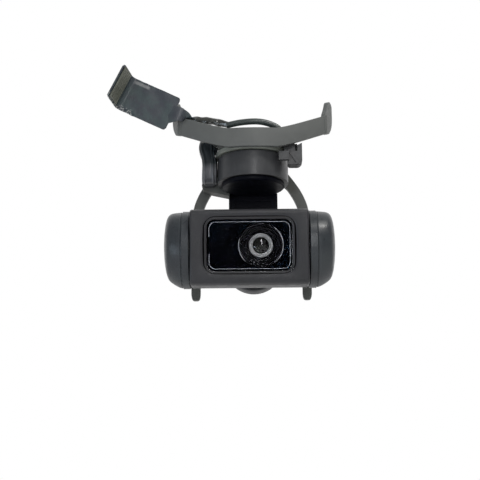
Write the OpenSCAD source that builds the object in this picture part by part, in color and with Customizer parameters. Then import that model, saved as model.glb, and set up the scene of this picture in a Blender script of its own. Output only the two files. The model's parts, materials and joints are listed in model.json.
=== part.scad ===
// Three-axis camera gimbal for a small folding drone. Millimetres, +Z up, lens towards -Y.
// The origin is on the yaw axis, in the upper face that is screwed to the airframe.

/* [Layout] */
// Drop from the mounting face to the pitch and roll axes
pitch_drop = 29; // [28.5:0.5:32]
// Distance of the pitch axis in front of the yaw axis
pitch_reach = 6; // [5.8:0.1:6.4]
// Sideways offset of the camera from the yaw axis
camera_shift = -1; // [-1.4:0.1:-0.6]
// Lens-down tilt of the camera at rest, in degrees
rest_tilt = 8; // [0:1:12]

/* [Camera] */
// Half of the camera body's width
camera_half = 14.5; // [13.5:0.1:14.5]
// Distance of the front face from the pitch axis
camera_front = 9.5; // [9:0.1:9.6]
// Height of the flat front face
face_h = 17.3; // [16:0.1:17.6]
// Radius of the rounded back of the body
camera_r = 9.95; // [9.4:0.05:10.1]
// Wall of the camera shells
shell_wall = 1; // [0.8:0.1:1.2]
// Width of the cover glass
glass_w = 20.6; // [18:0.1:22]
// Height of the cover glass
glass_h = 12.4; // [11.6:0.1:13]
// Corner radius of the cover glass
glass_corner = 1.9; // [1:0.1:3]
// Sideways offset of the lens in the camera
lens_shift = 2.75; // [0:0.05:3.5]
// Outer radius of the lens barrel
barrel_r = 5.5; // [5:0.1:5.7]
// Outer radius of the bright lens bezel
bezel_r = 2.95; // [2.5:0.05:3.5]
// Outer radius of the front lens
lens_r = 2; // [1.6:0.05:2.2]

/* [Drums] */
// Gap between the camera and each drum
drum_gap = 0.3; // [0.2:0.05:0.4]
// Width of the inner ring of a drum
ring_w = 2; // [1.6:0.1:2.2]
// Outer radius of the inner ring
ring_r = 9.7; // [9.5:0.1:10]
// Outer radius of a drum cap where it meets the ring
cap_r = 9.5; // [9.3:0.1:9.6]
// Outer radius of a drum cap at its rounded shoulder
cap_shoulder_r = 8.7; // [8.5:0.1:9]
// Depth of a drum cap
cap_depth = 4.5; // [4.4:0.1:5.2]
// Wall of a drum cap
cap_wall = 0.8; // [0.6:0.1:0.9]

/* [Roll arm] */
// Distance of the beam's front face behind the pitch axis
beam_y = 12; // [11.9:0.1:12.2]
// Thickness of the beam
beam_t = 1.2; // [1:0.1:1.3]
// Height of the beam at its ends
beam_end_h = 9; // [7:0.5:10]
// Height of the beam at the roll motor
beam_mid_h = 13; // [11:0.5:14]

/* [Motors] */
// Radius of every motor shaft
shaft_r = 1; // [0.9:0.05:1.1]
// Outer radius of the motor bearings
bearing_r = 2; // [1.9:0.05:2.1]
// Number of stator slots
slot_count = 9; // [6:3:9]
// Number of rotor magnets
magnet_count = 12; // [8:2:14]
// Thickness of a rotor magnet
magnet_t = 0.6; // [0.5:0.05:0.7]
// Outer radius of the roll motor housing
housing_r = 7.9; // [7.8:0.1:8.4]

/* [Yaw stage] */
// Outer radius of the yaw cup
cup_r = 9.2; // [9:0.1:9.4]
// Height of the yaw cup
cup_h = 6.6; // [6.4:0.1:7]
// Outer radius of the fixed flange above the cup
flange_r = 9.7; // [9.5:0.1:9.9]
// Width of the post behind the camera
post_w = 13; // [11:0.5:14]
// Half of the distance between the guard legs
leg_half = 14.6; // [14:0.1:14.8]
// Width of a guard leg
leg_w = 2.4; // [2:0.1:2.6]
// Length of the guard legs below the roll axis
leg_drop = 10.3; // [9:0.1:11]

/* [Bracket] */
// Half of the bracket's span across its ears
bracket_half = 21.1; // [20.5:0.1:21.5]
// Height of the bracket strip
strip_h = 5; // [4.6:0.1:5.4]
// Thickness of the bracket strip
strip_t = 1.1; // [1:0.1:1.2]
// Radius of the strip's bow, seen from above
strip_bow_r = 37; // [35:1:40]
// Rise of the strip from its middle to its ends
strip_rise = 5; // [4:0.5:6]
// Radius of the circle through the three mounting screws
screw_circle_r = 6.2; // [6:0.1:6.4]
// Radius of the mounting screw holes
screw_hole_r = 0.6; // [0.5:0.05:0.7]
// Bore radius of the rubber damper
damper_bore_r = 0.9; // [0.7:0.05:1]

/* [Flex and cables] */
// Length of the flat part of the flex tail
tail_l = 12.8; // [11:0.1:14]
// Width of the flex tail
tail_w = 9.5; // [8:0.1:10]
// Thickness of the flex tail
tail_t = 0.4; // [0.3:0.05:0.5]
// Radius of the bend in the flex tail
bend_r = 1.6; // [1.2:0.1:2]
// Length of the flap beyond the bend
flap_l = 6.2; // [5:0.1:7]
// Radius of the signal cable
cable_r = 0.9; // [0.7:0.05:0.95]

/* [Hidden] */
$fn = 64;
eps = 0.05;
run_gap = 0.3;
seat_gap = 0.02;
running_fit = 0.04;
thread_r = 0.45;

// Yaw stage, from the mounting face down
boss_h = 1;
plate_t = 1;
flange_t = 1.3;
plate_bottom = -(boss_h + plate_t);
flange_bottom = plate_bottom - flange_t;
cup_top = flange_bottom - run_gap;
cup_bottom = cup_top - cup_h;
cup_wall = 0.7;
cup_floor = 0.8;

// Motor parts that are the same in all three motors
tube_r = bearing_r + 0.7;
bearing_w = 1.3;
core_r = tube_r + 0.8;
tooth_w = 1;
coil_w = 2;
coil_over = 0.45;
shoe_t = 0.5;
air_gap = 0.25;
yaw_core_z = flange_bottom - 4.6;
yaw_core_h = 3.4;
roll_core_h = 2.4;
pitch_core_h = 2.2;

// Roll motor, behind the pitch axis
housing_y = beam_y + beam_t + 0.4;
housing_depth = 5.4;
housing_wall = 0.7;
housing_back_y = housing_y + housing_depth;
roll_bell_r = housing_r - housing_wall - 0.5;
roll_bell_h = 4.2;
cover_circle_r = 5.8;
cover_t = 1.6;
bell_floor = 0.6;

// Pitch motor, in the left drum
pitch_bell_r = cap_shoulder_r - cap_wall - 0.3;
pitch_bell_h = 4;
drum_x = camera_half + drum_gap;
cap_x = drum_x + ring_w;

// Yaw post and legs share one plane behind the roll arm
post_y = housing_y - pitch_reach;
post_t = 1.6;
leg_shift = -0.65;

// Bracket strip: bowed forward, its middle just in front of the flange
strip_front_y = -pitch_reach - 4.5;
strip_bottom_z = -3.1;
strip_flat_half = 9;
bow_center_y = strip_front_y + strip_bow_r;
ear_fold_x = bracket_half - 2.2;
ear_fold_y = bow_center_y - sqrt(strip_bow_r * strip_bow_r - ear_fold_x * ear_fold_x);
ear_bottom_z = strip_bottom_z + strip_rise;
ear_slant = 66;
ear_inset = 0.08;
damper_r = 1.3;
damper_lip = 0.3;
damper_lip_r = 1.8;
rear_damper_y = 13;
plate_r = 8.2;
clamp_circle_r = 7.1;
screw_angles = [30, 150, 270];
boss_angles = [90, 210, 330];
board_size = [7.6, 7, 0.6];

// Flex tail, in the upright plane of its flat part
tail_corner = [-22.5, -7, 2.4];
tail_fall = 25.8;
bend_angle = 79;
bend_steps = 16;
connector_l = 4.2;
rib_pitch = 0.9;

// Stop clip and folded flex beside the cup
clip_w = 2.8;
loop_out = 13.2;
fold_count = 4;
fold_pitch = 1.3;
fold_t = 0.6;
fold_drop = 7.9;

// Routes of the cables that the bracket holds
bundle_route = [[-17.2, -3.8, 5.9], [-16.2, -4.3, 5.8], [-14.6, -5, 5.4], [-12.6, -5.6, 5],
    [-10.4, -6.2, 4.7], [-8.2, -6.8, 4.2], [-6.6, -7.2, 3.8]];
cable_route = [[-5.9, -7.4, 3.8], [-4.4, -7.5, 4.2], [-2.4, -7.6, 4.6], [-0.4, -7.6, 4.7], [1.6, -7.5, 4.5],
    [3.4, -7.3, 4], [4.9, -7.2, 3.2], [6, -7.1, 2.2], [6.6, -7, 1.1], [6.8, -6.9, 0], [6.8, -6.9, -0.9]];
bundle_r = 1;

// Camera body: seam between its shells and height of the glass above the pitch axis
split_y = 1;
glass_rise = 0.4;

shell_color = "#2b2c2e";
drum_color = "#303133";
arm_color = "#242528";
bracket_color = "#3a3d3c";
black = "#101113";
steel_color = "#b9bbbd";
copper_color = "#b4703a";
board_color = "#1d4a33";
rubber_color = "#18181a";

// ---- Places and directions ----

// The point where the roll axis meets the pitch axis
module at_roll_axis() {
    translate([0, -pitch_reach, -pitch_drop]) children();
}

// The middle of the camera and drums on the pitch axis
module at_capsule() {
    translate([camera_shift, -pitch_reach, -pitch_drop]) children();
}

// The camera's own frame, tilted as it rests
module at_camera() {
    at_capsule() rotate([rest_tilt, 0, 0]) children();
}

// Turns +Z to +Y, starting at y
module along_y(y) {
    translate([0, y, 0]) rotate([-90, 0, 0]) children();
}

// Turns +Z to the left (side -1) or to the right (side 1), starting at x from the middle
module along_x(side, x) {
    translate([side * x, 0, 0]) rotate([0, side * 90, 0]) children();
}

// ---- Shared shapes ----

// Flat ring
module annulus(outer, inner) {
    difference() {
        circle(r = outer);
        circle(r = inner);
    }
}

// Tube or washer standing on z = 0
module tube(outer, inner, h) {
    linear_extrude(h) annulus(outer, inner);
}

// Rectangle with round corners, centred
module rounded_rect(w, h, r) {
    square([w - 2 * r, h], center = true);
    square([w, h - 2 * r], center = true);
    for (sx = [-1, 1], sy = [-1, 1]) {
        translate([sx * (w / 2 - r), sy * (h / 2 - r)]) circle(r = r);
    }
}

// Screw with a round head at the top, z = 0 under the head
module screw(shank_r, head_r, head_h, length) {
    translate([0, 0, -length]) cylinder(r = shank_r, h = length);
    difference() {
        cylinder(r = head_r, h = head_h);
        translate([0, 0, head_h / 2]) cylinder(r = head_r / 2, h = head_h, $fn = 6);
    }
}

// Cup of a motor's rotor, floor at z = 0
module bell(outer, wall, h, floor_t) {
    tube(outer, outer - wall, h);
    tube(outer - wall, shaft_r, floor_t);
}

// Row of separate magnets round the inside of a rotor
module magnets(outer, h) {
    difference() {
        tube(outer, outer - magnet_t, h);
        for (i = [0 : magnet_count - 1]) {
            rotate(i * 360 / magnet_count) translate([0, -0.15, -eps]) cube([outer + 1, 0.3, h + 1]);
        }
    }
}

// One stator tooth with its shoe
module tooth_outline(tip_r) {
    shoe_w = 2 * tip_r * sin(180 / slot_count) * 0.7;
    translate([0, -tooth_w / 2]) square([tip_r - shoe_t / 2, tooth_w]);
    intersection() {
        annulus(tip_r, tip_r - shoe_t);
        translate([0, -shoe_w / 2]) square([tip_r + 1, shoe_w]);
    }
}

// Laminated stator core round its tube
module stator_core(tip_r, h) {
    linear_extrude(h) difference() {
        union() {
            circle(r = core_r);
            for (i = [0 : slot_count - 1]) {
                rotate(i * 360 / slot_count) tooth_outline(tip_r);
            }
        }
        circle(r = tube_r);
    }
}

// Windings, one on each tooth, round a core that stands from z = 0 to h
module windings(tip_r, h) {
    inner = core_r + 0.25;
    length = tip_r - shoe_t - 0.2 - inner;
    for (i = [0 : slot_count - 1]) {
        rotate(i * 360 / slot_count) translate([inner, 0, 0]) difference() {
            translate([0, -coil_w / 2, -coil_over]) cube([length, coil_w, h + 2 * coil_over]);
            translate([-eps, -tooth_w / 2 - seat_gap, -seat_gap])
                cube([length + 1, tooth_w + 2 * seat_gap, h + 2 * seat_gap]);
        }
    }
}

// Bearing that a shaft runs in
module bearing() {
    tube(bearing_r, shaft_r + running_fit, bearing_w);
}

// Points of a ring of the swept tube, square to the route
function unit(v) = v / norm(v);
function tangent(path, i) =
    let (a = max(i - 1, 0), b = min(i + 1, len(path) - 1)) unit(path[b] - path[a]);
function sweep_ring(p, t, r, sides) =
    let (u = unit(cross(t, [0, 1, 0.2])), v = cross(t, u))
    [for (k = [0 : sides - 1]) p + r * (cos(k * 360 / sides) * u + sin(k * 360 / sides) * v)];

// Round tube along a route
module swept_tube(path, r, sides = 8) {
    rings = len(path);
    points = [for (i = [0 : rings - 1]) each sweep_ring(path[i], tangent(path, i), r, sides)];
    start = [for (k = [0 : sides - 1]) k];
    finish = [for (k = [sides - 1 : -1 : 0]) (rings - 1) * sides + k];
    skin = [for (i = [0 : rings - 2], k = [0 : sides - 1])
        [i * sides + k, (i + 1) * sides + k, (i + 1) * sides + (k + 1) % sides, i * sides + (k + 1) % sides]];
    polyhedron(points = points, faces = concat([start], skin, [finish]), convexity = 4);
}

// ---- Fixed bracket ----

// Region behind the bowed strip, seen from above, inset from the strip's front face
module behind_bow(inset) {
    translate([0, bow_center_y]) circle(r = strip_bow_r - inset, $fn = 128);
}

// Bowed strip with rising arms
module strip() {
    top = strip_bottom_z + strip_h;
    intersection() {
        translate([0, 0, strip_bottom_z - 1]) linear_extrude(strip_h + strip_rise + 2)
            translate([0, bow_center_y]) annulus(strip_bow_r, strip_bow_r - strip_t, $fn = 128);
        rotate([90, 0, 0]) linear_extrude(20) polygon([
            [-ear_fold_x, ear_bottom_z], [-strip_flat_half, strip_bottom_z],
            [strip_flat_half, strip_bottom_z], [ear_fold_x, ear_bottom_z],
            [ear_fold_x, top + strip_rise], [strip_flat_half, top],
            [-strip_flat_half, top], [-ear_fold_x, top + strip_rise]
        ]);
    }
}

// Puts a child in the plane of an ear: +X along the ear, +Y up, +Z towards its outside
module in_ear(side) {
    mirror([side < 0 ? 1 : 0, 0, 0]) translate([ear_fold_x, ear_fold_y, ear_bottom_z])
        rotate([0, 0, ear_slant]) rotate([90, 0, 0]) children();
}

// Upturned ear that leans outwards at the end of an arm
module ear(side) {
    in_ear(side) translate([0, 0, -strip_t]) linear_extrude(strip_t - ear_inset) polygon([
        [0, 0.1], [0, 4.9], [1.2, 6.8], [2.4, 8.9], [3.3, 9.6], [4.6, 9.5], [5.3, 8.4], [5.3, 4.6],
        [4.5, 2.4], [2.4, 0.3]
    ]);
}

// Strip, ears and the mounting plate behind the strip
module horn_bracket() {
    color(bracket_color) {
        strip();
        ear(-1);
        ear(1);
        translate([0, 0, plate_bottom]) linear_extrude(plate_t) difference() {
            union() {
                circle(r = plate_r);
                intersection() {
                    behind_bow(strip_t / 2);
                    translate([-strip_flat_half + 0.5, -12]) square([2 * strip_flat_half - 1, 12]);
                }
                translate([-3, 0]) square([6, rear_damper_y]);
                translate([0, rear_damper_y]) circle(r = 3);
            }
            circle(r = tube_r);
            translate([0, rear_damper_y]) circle(r = damper_r);
            for (a = screw_angles) rotate(a) translate([clamp_circle_r, 0]) circle(r = 0.5);
            for (a = boss_angles) rotate(a) translate([screw_circle_r, 0]) circle(r = screw_hole_r);
        }
        for (a = boss_angles) {
            rotate(a) translate([screw_circle_r, 0, -boss_h]) tube(1.3, screw_hole_r, boss_h);
        }
    }
}

// Flange above the yaw cup, with the tube that carries the stator and bearings
module yaw_mount() {
    color(arm_color) {
        translate([0, 0, flange_bottom]) linear_extrude(flange_t) difference() {
            intersection() {
                circle(r = flange_r);
                behind_bow(strip_t + eps);
            }
            circle(r = bearing_r);
            for (a = screw_angles) rotate(a) translate([clamp_circle_r, 0]) circle(r = thread_r);
        }
        translate([0, 0, cup_bottom + cup_floor + 0.6])
            tube(tube_r, bearing_r, flange_bottom - cup_bottom - cup_floor - 0.6);
    }
}

// Rubber grommet through a plate of thickness t, its outer face at z = 0
module grommet(t) {
    color(rubber_color) {
        translate([0, 0, -t]) tube(damper_r, damper_bore_r, t);
        tube(damper_lip_r, damper_bore_r, damper_lip);
        translate([0, 0, -t - damper_lip]) tube(damper_lip_r, damper_bore_r, damper_lip);
    }
}

module rear_damper() {
    translate([0, rear_damper_y, -boss_h]) grommet(plate_t);
}

// Screws that hold the flange under the bracket plate
module bracket_screws() {
    color(steel_color) for (a = screw_angles) {
        rotate(a) translate([clamp_circle_r, 0, -boss_h]) screw(thread_r, 0.9, 0.5, plate_t + flange_t - 0.2);
    }
}

module yaw_stator_core() {
    color(steel_color) translate([0, 0, yaw_core_z])
        stator_core(cup_r - cup_wall - magnet_t - air_gap, yaw_core_h);
}

module yaw_coils() {
    color(copper_color) translate([0, 0, yaw_core_z])
        windings(cup_r - cup_wall - magnet_t - air_gap, yaw_core_h);
}

module yaw_bearing_upper() {
    color(steel_color) translate([0, 0, flange_bottom]) bearing();
}

module yaw_bearing_lower() {
    color(steel_color) translate([0, 0, cup_bottom + cup_floor + 0.6]) bearing();
}

// Circuit board between the mounting bosses
module yaw_driver_board() {
    color(board_color) {
        translate([-board_size.x / 2, -board_size.y / 2, -boss_h]) cube(board_size);
        translate([-3, 0.6, -boss_h + board_size.z]) cube([2.6, 2.2, 0.35]);
        translate([-3, -2.6, -boss_h + board_size.z]) cube([1.6, 1.2, 0.3]);
    }
}

module board_connector() {
    color(black) translate([0.6, -3.6, -boss_h + board_size.z]) difference() {
        cube([3.1, 2.4, 1]);
        translate([0.4, 0.5, 0.6]) cube([2.3, 1.4, 1]);
    }
}

// Clip beside the cup that stops the yaw arm, with a finger in front of the cup
module yaw_stop_clip() {
    clip_front_y = -4.8 - clip_w;
    color(arm_color) {
        translate([plate_r, -7, -boss_h]) cube([2.4, 2.2, 0.5]);
        translate([8.75, -7, cup_top]) cube([2, 2.2, 3.1]);
        translate([8.9, clip_front_y + clip_w, 0]) rotate([90, 0, 0]) linear_extrude(clip_w) difference() {
            polygon([[0, -3.4], [3.7, -1.4], [3.7, -6.5], [2.9, -7.3], [0.4, -7.3], [0, -6.9]]);
            translate([1.85, -3.6]) square([0.65, 3]);
        }
        translate([6.6, clip_front_y - 1.1, -6.2]) cube([2.6, 1.15, 2.3]);
    }
}

module signal_cable() {
    color(black) swept_tube(cable_route, cable_r);
}

module taped_bundle() {
    color(black) swept_tube(bundle_route, bundle_r, 10);
}

// Puts a child in the plane of the flex tail: +X down along it, +Y across it, +Z forwards
module in_tail() {
    translate(tail_corner) rotate([90, 0, 0]) rotate([0, 0, -tail_fall]) children();
}

// Puts a child on the flap beyond the bend: -X along the flap, +Y across it, +Z on its inner side
module at_flap() {
    in_tail() translate([-tail_l, 0, bend_r]) rotate([0, bend_angle, 0]) translate([0, 0, -bend_r]) children();
}

// Point on the bend at a radius, and the far corner of the flap on that side
function bend_point(r, angle) = [-tail_l - r * sin(angle), bend_r - r * cos(angle)];
function flap_point(r) = bend_point(r, bend_angle) + flap_l * [-cos(bend_angle), sin(bend_angle)];

// Flat flexible circuit, bent forwards at its far end, with a neck that turns over the left arm
module flex_tail() {
    color("#2c3238") {
        in_tail() {
            translate([0, tail_w, 0]) rotate([90, 0, 0]) linear_extrude(tail_w) polygon(concat(
                [[0, 0]],
                [for (i = [0 : bend_steps]) bend_point(bend_r, i * bend_angle / bend_steps)],
                [flap_point(bend_r), flap_point(bend_r - tail_t)],
                [for (i = [bend_steps : -1 : 0])
                    bend_point(bend_r - tail_t, i * bend_angle / bend_steps)],
                [[0, tail_t]]));
            translate([-eps, 3.2, 0]) cube([3, 3.4, tail_t]);
        }
        translate([-18.6, -7.4, 7]) cube([2.4, 1.4, tail_t]);
        translate([-17, -6.1, 7]) cube([1.6, 1.5, tail_t]);
    }
}

// Stiffener on the outer side of the flap
module flex_stiffener() {
    color("#6d7468") at_flap() translate([0.4 - flap_l, 0.4, -0.3]) cube([flap_l - 0.8, tail_w - 0.8, 0.3]);
}

// Ribbed connector on the inner side of the flap
module flex_connector() {
    color("#7d8275") at_flap() translate([0.6 - flap_l, 0.5, tail_t]) {
        cube([connector_l, tail_w - 1, 0.4]);
        for (i = [0 : 4]) {
            translate([0.1 + i * rib_pitch, 0.2, 0.4 - eps]) cube([0.35, tail_w - 1.4, 0.4]);
        }
    }
}

// Loop of flat flex that crosses the yaw joint beside the cup
module yaw_flex_loop() {
    // The folds hang clear of the rim of the motor flange
    fold_w = loop_out - flange_r - running_fit;
    color(black) translate([-loop_out, -3, 0]) {
        for (i = [0 : fold_count - 1]) {
            translate([0, i * fold_pitch, -fold_drop]) cube([fold_w, fold_t, fold_drop - 0.7]);
        }
        translate([0, 0, -0.9]) cube([5.2, (fold_count - 1) * fold_pitch + fold_t, 2]);
    }
}

// ---- Yaw arm ----

module yaw_cup() {
    color("#3b3d41") translate([0, 0, cup_bottom]) bell(cup_r, cup_wall, cup_h, cup_floor);
}

module yaw_magnets() {
    color(steel_color) translate([0, 0, cup_bottom + cup_floor + 0.7]) magnets(cup_r - cup_wall, 3.8);
}

module yaw_shaft() {
    color(steel_color) translate([0, 0, cup_bottom]) cylinder(r = shaft_r, h = cup_h + flange_t + 0.4);
}

// Plate under the cup and the post that goes down behind the camera
module yaw_post() {
    color(arm_color) difference() {
        union() {
            translate([0, 0, cup_bottom - 1]) cylinder(r = 8.2, h = 1);
            translate([-post_w / 2, post_y, 4 - pitch_drop])
                cube([post_w, post_t, pitch_drop - 4 + cup_bottom]);
        }
        at_roll_axis() along_y(housing_y - 1) cylinder(r = housing_r + seat_gap, h = 4);
    }
}

// Guard leg beside the camera; its outline is measured from its middle line and the roll axis
module guard_leg(side) {
    top = pitch_drop + cup_top;
    outer = leg_half + leg_w / 2;
    inner = leg_half - leg_w / 2;
    color(arm_color) difference() {
        translate([leg_shift, post_y + post_t, -pitch_drop]) mirror([side < 0 ? 1 : 0, 0, 0])
            rotate([90, 0, 0]) linear_extrude(post_t) {
                polygon([[4, top], [8.7, top], [11.1, top - 2.6], [13.2, top - 6], [outer - 0.3, top - 10],
                    [outer, top - 16], [outer, -leg_drop + 0.8], [outer - 0.8, -leg_drop],
                    [inner + 0.8, -leg_drop], [inner, -leg_drop + 0.8], [inner, top - 16],
                    [inner - 0.4, top - 10.4], [10.7, top - 7.1], [8.7, top - 4.5], [4, top - 4.4]]);
            }
        translate([0, 0, cup_bottom - 1]) cylinder(r = cup_r + seat_gap, h = cup_h + 2);
    }
}

module left_guard_leg() {
    guard_leg(-1);
}

module right_guard_leg() {
    guard_leg(1);
}

// Clamp that holds the lower end of the flex loop, with a shelf that reaches to the post
module cable_clamp() {
    color(arm_color) translate([0, post_y, 0]) rotate([90, 0, 0]) linear_extrude(post_y - 4) difference() {
        polygon([[-13.5, -8.3], [-9.3, -8.3], [-9.3, -10.3], [-7.3, -10.3], [-7.3, -11.25], [-6.55, -11.25],
            [-6.55, -11.9], [-10.6, -11], [-13.2, -10.3]]);
        translate([-12.7, -9.6]) square([2.6, 0.6]);
    }
}

module roll_housing() {
    color(arm_color) at_roll_axis() along_y(housing_y) {
        tube(housing_r, housing_r - housing_wall, housing_depth);
        translate([0, 0, housing_depth - 0.7]) linear_extrude(0.7) difference() {
            annulus(housing_r - housing_wall, bearing_r);
            for (a = screw_angles) rotate(a) translate([cover_circle_r, 0]) circle(r = thread_r);
        }
        translate([0, 0, 0.9]) tube(tube_r, bearing_r, housing_depth - 0.9);
    }
}

module roll_stator_core() {
    color(steel_color) at_roll_axis() along_y(housing_y + 1.5)
        stator_core(roll_bell_r - bell_floor - magnet_t - air_gap, roll_core_h);
}

module roll_coils() {
    color(copper_color) at_roll_axis() along_y(housing_y + 1.5)
        windings(roll_bell_r - bell_floor - magnet_t - air_gap, roll_core_h);
}

module roll_bearing_front() {
    color(steel_color) at_roll_axis() along_y(housing_y + 0.9) bearing();
}

module roll_bearing_rear() {
    color(steel_color) at_roll_axis() along_y(housing_back_y - bearing_w) bearing();
}

// Angle sensor board behind the roll motor
module roll_encoder_board() {
    color(board_color) at_roll_axis() along_y(housing_back_y) {
        cylinder(r = 4.6, h = 0.5);
        translate([-1.3, -1.3, 0.5]) cube([2.6, 2.6, 0.3]);
    }
}

module roll_rear_cover() {
    color(shell_color) at_roll_axis() along_y(housing_back_y) difference() {
        union() {
            difference() {
                cylinder(r1 = housing_r, r2 = housing_r - 0.9, h = cover_t);
                translate([0, 0, -1]) cylinder(r = housing_r - 1.6, h = cover_t + 0.3);
            }
            for (a = screw_angles) rotate(a) translate([cover_circle_r, 0, 0]) cylinder(r = 0.9, h = 1);
        }
        for (a = screw_angles) rotate(a) translate([cover_circle_r, 0, -1]) cylinder(r = 0.5, h = 4);
    }
}

module cover_screws() {
    color(steel_color) at_roll_axis() along_y(housing_back_y + cover_t) for (a = screw_angles) {
        rotate(a) translate([cover_circle_r, 0, 0]) screw(thread_r, 0.9, 0.4, 2.2);
    }
}

// ---- Roll arm ----

module roll_rotor_cup() {
    color(drum_color) at_roll_axis() along_y(beam_y + beam_t)
        bell(roll_bell_r, bell_floor, roll_bell_h, bell_floor);
}

module roll_magnets() {
    color(steel_color) at_roll_axis() along_y(housing_y + 1.2) magnets(roll_bell_r - bell_floor, 2.5);
}

module roll_shaft() {
    color(steel_color) at_roll_axis() along_y(beam_y) cylinder(r = shaft_r, h = beam_t + housing_depth);
}

// Beam behind the camera that joins the two drums
module roll_beam() {
    end_x = drum_x + ring_w;
    color(drum_color) difference() {
        at_capsule() along_y(beam_y) linear_extrude(beam_t) polygon([
            [-end_x, -beam_end_h / 2], [-9, -beam_mid_h / 2], [9, -beam_mid_h / 2],
            [end_x, -beam_end_h / 2], [end_x, beam_end_h / 2], [9, beam_mid_h / 2],
            [-9, beam_mid_h / 2], [-end_x, beam_end_h / 2]
        ]);
        at_roll_axis() along_y(beam_y - 1) cylinder(r = shaft_r, h = 4);
        at_beam_screws() {
            translate([0, 0, -4]) cylinder(r = thread_r, h = 8);
            cylinder(r = 0.85, h = 2);
        }
    }
}

// The four screws that join the beam to the drum rings, under their heads
module at_beam_screws() {
    at_capsule() along_y(beam_y + beam_t / 2) for (sx = [-1, 1], sz = [-1, 1]) {
        translate([sx * (drum_x + ring_w / 2), sz * 2.8, 0]) children();
    }
}

module frame_screws() {
    color(steel_color) at_beam_screws() screw(thread_r, 0.8, 0.5, 2.4);
}

// Inner ring of a drum, with the block that carries it on the beam
module drum_ring(side) {
    block_h = beam_end_h - 0.4;
    color(drum_color) difference() {
        at_capsule() mirror([side < 0 ? 1 : 0, 0, 0]) difference() {
            union() {
                along_x(1, drum_x) cylinder(r = ring_r, h = ring_w);
                translate([drum_x, 0, -block_h / 2]) cube([ring_w, beam_y, block_h]);
            }
            along_x(1, drum_x - 1) cylinder(r = ring_r - 1, h = ring_w + 2);
        }
        at_beam_screws() translate([0, 0, -2.4]) cylinder(r = thread_r, h = 3);
    }
}

module left_drum() {
    drum_ring(-1);
}

module right_drum() {
    drum_ring(1);
}

// Crowned cover of a drum, open towards the camera
module drum_cap(side) {
    at_capsule() along_x(side, cap_x) rotate_extrude() polygon([
        [cap_r, 0], [cap_shoulder_r, cap_depth - 1.7], [cap_shoulder_r - 0.8, cap_depth - 0.9],
        [cap_shoulder_r - 2.2, cap_depth - 0.5], [cap_shoulder_r - 5, cap_depth - 0.1], [0, cap_depth],
        [0, cap_depth - cap_wall], [cap_shoulder_r - 2.6, cap_depth - cap_wall - 0.4],
        [cap_shoulder_r - cap_wall, cap_depth - 2.3],
        [cap_r - cap_wall, 0]
    ]);
}

// Left cover, with the tube that carries the pitch motor's stator
module left_drum_cap() {
    color(drum_color) {
        drum_cap(-1);
        at_capsule() along_x(-1, drum_x + 1.1) tube(tube_r, bearing_r, ring_w + cap_depth - cap_wall - 1.1);
    }
}

module pitch_stator_core() {
    color(steel_color) at_capsule() along_x(-1, drum_x + 1.4)
        stator_core(pitch_bell_r - bell_floor - magnet_t - air_gap, pitch_core_h);
}

module pitch_coils() {
    color(copper_color) at_capsule() along_x(-1, drum_x + 1.4)
        windings(pitch_bell_r - bell_floor - magnet_t - air_gap, pitch_core_h);
}

module pitch_bearing() {
    color(steel_color) at_capsule() along_x(-1, drum_x + 1.1) bearing();
}

// Right cover, with the seat of the idler bearing
module right_drum_cap() {
    color(drum_color) {
        drum_cap(1);
        at_capsule() along_x(1, cap_x + 0.2) tube(4.4, 3.6, cap_depth - cap_wall - 0.2);
    }
}

module idler_bearing() {
    color(steel_color) at_capsule() along_x(1, cap_x + 0.4) tube(3.6, 2 + running_fit, 1.8);
}

// ---- Camera ----

// Outer block of the body: a round back and a flat front with bevelled edges
module body_block(inset, half) {
    half_face = (face_h - inset) / 2;
    shoulder = camera_r - 0.65 - inset;
    crown = camera_r - 0.35 - inset;
    front = -camera_front + inset;
    translate([-half, 0, 0]) {
        rotate([0, 90, 0]) cylinder(r = camera_r - inset, h = 2 * half);
        rotate([90, 0, 90]) linear_extrude(2 * half) polygon([
            [front, -half_face], [front, half_face], [front + 1.5, shoulder],
            [0, crown], [0, -crown], [front + 1.5, -shoulder]
        ]);
    }
}

// Upright plate facing forwards, its front at y
module face_plate(y, t) {
    translate([0, y + t, glass_rise]) rotate([90, 0, 0]) linear_extrude(t) children();
}

// One shell: the hollow body between two depths
module shell(from_y, to_y) {
    intersection() {
        difference() {
            body_block(0, camera_half);
            body_block(shell_wall, camera_half - shell_wall);
        }
        translate([-20, from_y, -20]) cube([40, to_y - from_y, 40]);
    }
}

module camera_front_shell() {
    color(shell_color) at_camera() difference() {
        shell(-20, split_y);
        face_plate(-camera_front - 1, 3) rounded_rect(glass_w + 1.4, glass_h + 1.4, glass_corner + 0.7);
    }
}

module camera_rear_shell() {
    color(shell_color) at_camera() shell(split_y, 20);
}

// Frame round the cover glass
module glass_trim() {
    color(black) at_camera() face_plate(-camera_front + 0.2, 1) difference() {
        rounded_rect(glass_w + 1.36, glass_h + 1.36, glass_corner + 0.68);
        rounded_rect(glass_w + 0.1, glass_h + 0.1, glass_corner + 0.05);
    }
}

module cover_glass() {
    color("#07080a") at_camera() face_plate(-camera_front + 0.15, 0.8)
        rounded_rect(glass_w, glass_h, glass_corner);
}

// Dark mask behind the glass
module lens_surround() {
    color(black) at_camera() face_plate(-camera_front + 1, 0.6) difference() {
        rounded_rect(glass_w, glass_h, glass_corner);
        translate([lens_shift, 0]) circle(r = barrel_r + seat_gap);
    }
}

// Lens axis, +Z forwards, starting at the depth y
module at_lens(y) {
    at_camera() translate([lens_shift, y, glass_rise]) rotate([90, 0, 0]) children();
}

module lens_barrel() {
    color("#1b1c1f") at_lens(-2) difference() {
        cylinder(r = barrel_r, h = camera_front - 3);
        translate([0, 0, -1]) cylinder(r = lens_r, h = camera_front);
        translate([0, 0, camera_front - 4])
            cylinder(r1 = bezel_r + seat_gap, r2 = barrel_r - 0.8, h = 1 + eps);
    }
}

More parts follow.
